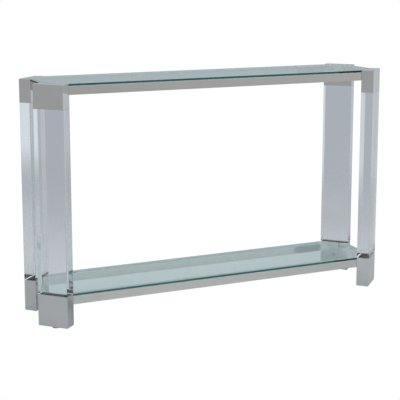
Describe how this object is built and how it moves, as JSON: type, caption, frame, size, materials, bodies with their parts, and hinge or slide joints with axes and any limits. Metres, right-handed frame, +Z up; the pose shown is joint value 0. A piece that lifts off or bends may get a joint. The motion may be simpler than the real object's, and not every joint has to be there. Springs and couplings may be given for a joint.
{
  "type": "console table",
  "caption": "Long narrow console table: clear acrylic legs set diagonally between polished steel blocks, tube rails, glass top with clipped corners and a low glass shelf.",
  "frame": {"origin": "on the floor at the centre of the table's footprint, at the level of the glide pads' undersides", "axes": "+X along the table's length, to the right seen from the front; +Y to the back; +Z up"},
  "size_m": [1.23, 0.308, 0.762],
  "materials": {
    "leg_acrylic": "clear cast acrylic, polished",
    "block_steel": "mirror-polished stainless steel",
    "rail_steel": "mirror-polished stainless steel tube",
    "panel_glass": "clear float glass with polished green edges",
    "bumper_clear": "clear soft polyurethane",
    "screw_steel": "stainless flanged button-head screw",
    "insert_brass": "machined brass",
    "base_zinc": "zinc-plated steel",
    "glide_zinc": "zinc-plated threaded steel",
    "glide_nylon": "moulded pale nylon"
  },
  "bodies": {
    "table": {"leg_front_left": "leg_acrylic", "leg_front_right": "leg_acrylic", "leg_back_right": "leg_acrylic", "leg_back_left": "leg_acrylic", "top_block_front_left": "block_steel", "top_block_front_right": "block_steel", "top_block_back_right": "block_steel", "top_block_back_left": "block_steel", "top_cap_front_left": "block_steel", "top_cap_front_right": "block_steel", "top_cap_back_right": "block_steel", "top_cap_back_left": "block_steel", "foot_block_front_left": "block_steel", "foot_block_front_right": "block_steel", "foot_block_back_right": "block_steel", "foot_block_back_left": "block_steel", "foot_base_front_left": "base_zinc", "foot_base_front_right": "base_zinc", "foot_base_back_right": "base_zinc", "foot_base_back_left": "base_zinc", "glide_bush_front_left": "base_zinc", "glide_bush_front_right": "base_zinc", "glide_bush_back_right": "base_zinc", "glide_bush_back_left": "base_zinc", "top_rail_front": "rail_steel", "top_rail_back": "rail_steel", "top_rail_left": "rail_steel", "top_rail_right": "rail_steel", "shelf_rail_front": "rail_steel", "shelf_rail_back": "rail_steel", "shelf_rail_left": "rail_steel", "shelf_rail_right": "rail_steel", "top_glass": "panel_glass", "shelf_glass": "panel_glass", "top_bumpers": "bumper_clear", "shelf_bumpers": "bumper_clear", "top_block_screws": "screw_steel", "foot_block_screws": "screw_steel", "leg_inserts": "insert_brass"},
    "glide_pad_front_left": {"glide_pad_front_left": "glide_nylon"},
    "glide_stem_front_left": {"glide_stem_front_left": "glide_zinc"},
    "glide_pad_front_right": {"glide_pad_front_right": "glide_nylon"},
    "glide_stem_front_right": {"glide_stem_front_right": "glide_zinc"},
    "glide_pad_back_right": {"glide_pad_back_right": "glide_nylon"},
    "glide_stem_back_right": {"glide_stem_back_right": "glide_zinc"},
    "glide_pad_back_left": {"glide_pad_back_left": "glide_nylon"},
    "glide_stem_back_left": {"glide_stem_back_left": "glide_zinc"}
  },
  "joints": [
    {"name": "glide_height_front_left", "type": "slide", "parent": "table", "child": "glide_pad_front_left", "axis": [0, 0, 1], "range_m": [-0.01, 0]},
    {"name": "glide_turn_front_left", "type": "hinge", "parent": "glide_pad_front_left", "child": "glide_stem_front_left", "pos_m": [-0.56459, -0.10358, 0.01], "axis": [0, 0, 1], "range_deg": [-2881, 1]},
    {"name": "glide_height_front_right", "type": "slide", "parent": "table", "child": "glide_pad_front_right", "axis": [0, 0, 1], "range_m": [-0.01, 0]},
    {"name": "glide_turn_front_right", "type": "hinge", "parent": "glide_pad_front_right", "child": "glide_stem_front_right", "pos_m": [0.56459, -0.10358, 0.01], "axis": [0, 0, 1], "range_deg": [-2881, 1]},
    {"name": "glide_height_back_right", "type": "slide", "parent": "table", "child": "glide_pad_back_right", "axis": [0, 0, 1], "range_m": [-0.01, 0]},
    {"name": "glide_turn_back_right", "type": "hinge", "parent": "glide_pad_back_right", "child": "glide_stem_back_right", "pos_m": [0.56459, 0.10358, 0.01], "axis": [0, 0, 1], "range_deg": [-2881, 1]},
    {"name": "glide_height_back_left", "type": "slide", "parent": "table", "child": "glide_pad_back_left", "axis": [0, 0, 1], "range_m": [-0.01, 0]},
    {"name": "glide_turn_back_left", "type": "hinge", "parent": "glide_pad_back_left", "child": "glide_stem_back_left", "pos_m": [-0.56459, 0.10358, 0.01], "axis": [0, 0, 1], "range_deg": [-2881, 1]}
  ],
  "couplings": [
    {"joint": "glide_turn_front_left", "follows": "glide_height_front_left", "rad_per_m": 5026.5},
    {"joint": "glide_turn_front_right", "follows": "glide_height_front_right", "rad_per_m": 5026.5},
    {"joint": "glide_turn_back_right", "follows": "glide_height_back_right", "rad_per_m": 5026.5},
    {"joint": "glide_turn_back_left", "follows": "glide_height_back_left", "rad_per_m": 5026.5}
  ]
}
